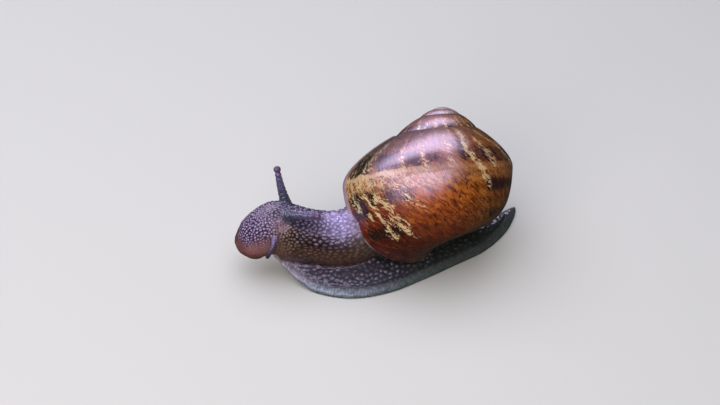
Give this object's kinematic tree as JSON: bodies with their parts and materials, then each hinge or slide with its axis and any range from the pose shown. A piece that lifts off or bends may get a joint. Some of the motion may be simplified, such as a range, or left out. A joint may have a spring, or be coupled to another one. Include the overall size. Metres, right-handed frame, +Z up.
{
  "type": "garden snail",
  "caption": "Land snail creeping on a flat sole, neck stretched out, with a blunt right-handed spiral shell on its back; still life-size figure.",
  "frame": {"origin": "middle of the whole animal's bounding box, on the floor under its sole", "axes": "+X from the head to the tail, +Y to the animal's right, +Z up"},
  "size_m": [0.0572, 0.0314, 0.0282],
  "materials": {
    "shell": "glossy mottled brown shell of lime with a thin horny coat",
    "collar": "wet olive flesh",
    "skin": "wet, grained, purple-grey flesh",
    "muzzle_skin": "wet, smooth, pinkish flesh",
    "foot_skin": "wet, grained, blue-grey flesh",
    "feeler_skin": "wet, finely grained, blue-grey flesh",
    "eye": "dark, wet and shiny"
  },
  "bodies": {
    "root": {"shell": "shell", "mantle_collar": "collar", "muzzle": "muzzle_skin", "head": "skin", "neck": "skin", "trunk": "skin", "foot_front": "foot_skin", "foot_middle": "foot_skin", "foot_rear": "foot_skin", "tail": "foot_skin", "upper_feeler_left": "feeler_skin", "upper_feeler_right": "feeler_skin", "lower_feeler_left": "feeler_skin", "lower_feeler_right": "feeler_skin", "eye_left": "eye", "eye_right": "eye"}
  },
  "joints": []
}
